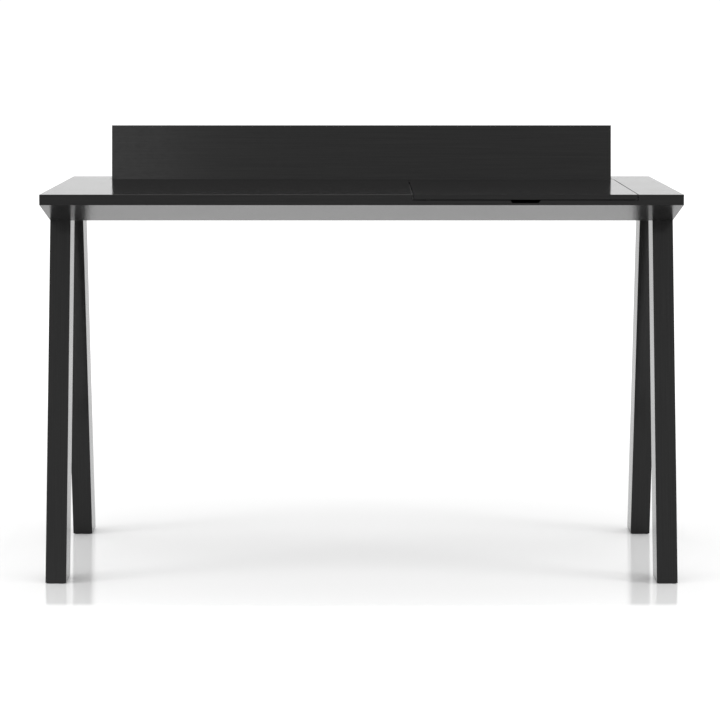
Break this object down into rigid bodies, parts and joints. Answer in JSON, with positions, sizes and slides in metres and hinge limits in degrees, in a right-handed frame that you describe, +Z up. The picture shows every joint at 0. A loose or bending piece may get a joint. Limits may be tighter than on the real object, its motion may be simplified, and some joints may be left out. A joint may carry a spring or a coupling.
{
  "type": "writing desk",
  "caption": "Black writing desk: slim-edged top with sloping underside on leaning legs, a flush lift-up storage lid and a folding screen along the back.",
  "frame": {"origin": "on the floor under the middle of the desk", "axes": "+Z up, +X to the user's right, -Y towards the user"},
  "size_m": [1.22, 0.68, 0.8616],
  "materials": {
    "black_wood": "black-stained fine-grained veneer under a semi-gloss lacquer",
    "raw_plywood": "bare plywood",
    "zinc_steel": "zinc plated",
    "black_steel": "blackened",
    "brass": "turned",
    "felt": "pressed black felt",
    "rubber": "soft black rubber"
  },
  "bodies": {
    "desk": {"bottom_panel": "black_wood", "core_rib_inner": "raw_plywood", "core_rib_outer": "raw_plywood", "divider_left": "black_wood", "divider_right": "black_wood", "flap_bumpers": "rubber", "flap_pivot_bushes": "brass", "foot_pad_front_left": "felt", "foot_pad_front_right": "felt", "foot_pad_rear_left": "felt", "foot_pad_rear_right": "felt", "front_rail": "black_wood", "front_slope_panel": "black_wood", "left_end": "black_wood", "leg_block_front_left": "raw_plywood", "leg_block_front_right": "raw_plywood", "leg_block_rear_left": "raw_plywood", "leg_block_rear_right": "raw_plywood", "leg_bolts": "zinc_steel", "leg_front_left": "black_wood", "leg_front_right": "black_wood", "leg_inserts": "brass", "leg_plate_front_left": "zinc_steel", "leg_plate_front_right": "zinc_steel", "leg_plate_rear_left": "zinc_steel", "leg_plate_rear_right": "zinc_steel", "leg_rear_left": "black_wood", "leg_rear_right": "black_wood", "lid_bumpers": "rubber", "lid_pivot_bushes": "brass", "plate_screws": "zinc_steel", "rear_partition": "black_wood", "rear_rail": "black_wood", "rear_slope_panel": "black_wood", "right_end": "black_wood", "trough_end_left": "black_wood", "trough_end_right": "black_wood", "worktop_panel": "black_wood"},
    "lid": {"storage_lid": "black_wood", "lid_pivot_pins": "black_steel"},
    "flap": {"rear_flap": "black_wood", "flap_pivot_pins": "black_steel"}
  },
  "joints": [
    {"name": "lid_hinge", "type": "hinge", "parent": "desk", "child": "lid", "pos_m": [0.31025, 0.1942, 0.74525], "axis": [-1, 0, 0], "range_deg": [0, 85]},
    {"name": "flap_hinge", "type": "hinge", "parent": "desk", "child": "flap", "pos_m": [0, 0.2231, 0.74525], "axis": [-1, 0, 0], "range_deg": [0, 85]}
  ]
}
